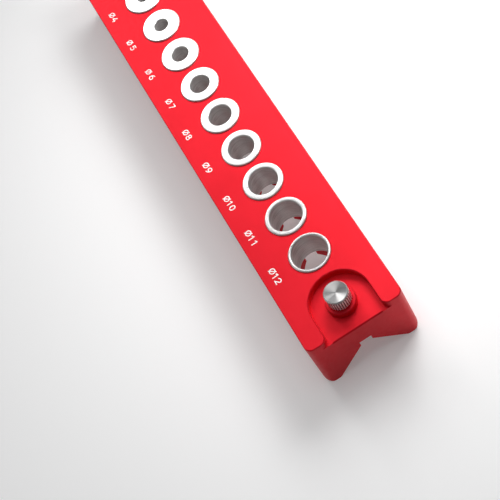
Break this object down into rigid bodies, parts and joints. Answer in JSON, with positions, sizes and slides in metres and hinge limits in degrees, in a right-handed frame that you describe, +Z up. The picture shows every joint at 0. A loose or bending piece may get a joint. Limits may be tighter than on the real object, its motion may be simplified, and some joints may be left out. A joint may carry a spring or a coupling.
{
  "type": "v-block drill guide",
  "caption": "Red V-grooved block with a row of steel drill bushings in graded sizes and a knurled thumb screw in an open pocket at one end.",
  "frame": {"origin": "on the surface that the leg tips stand on, below the middle of the block", "axes": "+X along the block towards its open pocket, -Y towards the size marks, +Z up"},
  "size_m": [0.19, 0.0344, 0.0297],
  "materials": {
    "block": "red anodised, satin",
    "bushing": "hardened and ground",
    "washer": "plain",
    "screw": "turned and knurled"
  },
  "bodies": {
    "block": {"guide_block": "block", "bushing_1": "bushing", "bushing_2": "bushing", "bushing_3": "bushing", "bushing_4": "bushing", "bushing_5": "bushing", "bushing_6": "bushing", "bushing_7": "bushing", "bushing_8": "bushing", "bushing_9": "bushing", "bushing_10": "bushing"},
    "washer": {"head_washer": "washer"},
    "screw": {"thumb_screw": "screw"}
  },
  "joints": [
    {"name": "washer_lift", "type": "slide", "parent": "block", "child": "washer", "axis": [0, 0, 1], "range_m": [0, 0.0084]},
    {"name": "screw_turn", "type": "hinge", "parent": "washer", "child": "screw", "pos_m": [0.085, 0, 0.024], "axis": [0, 0, 1], "range_deg": [0, 4320]}
  ],
  "couplings": [
    {"joint": "screw_turn", "follows": "washer_lift", "rad_per_m": 8975.9}
  ]
}
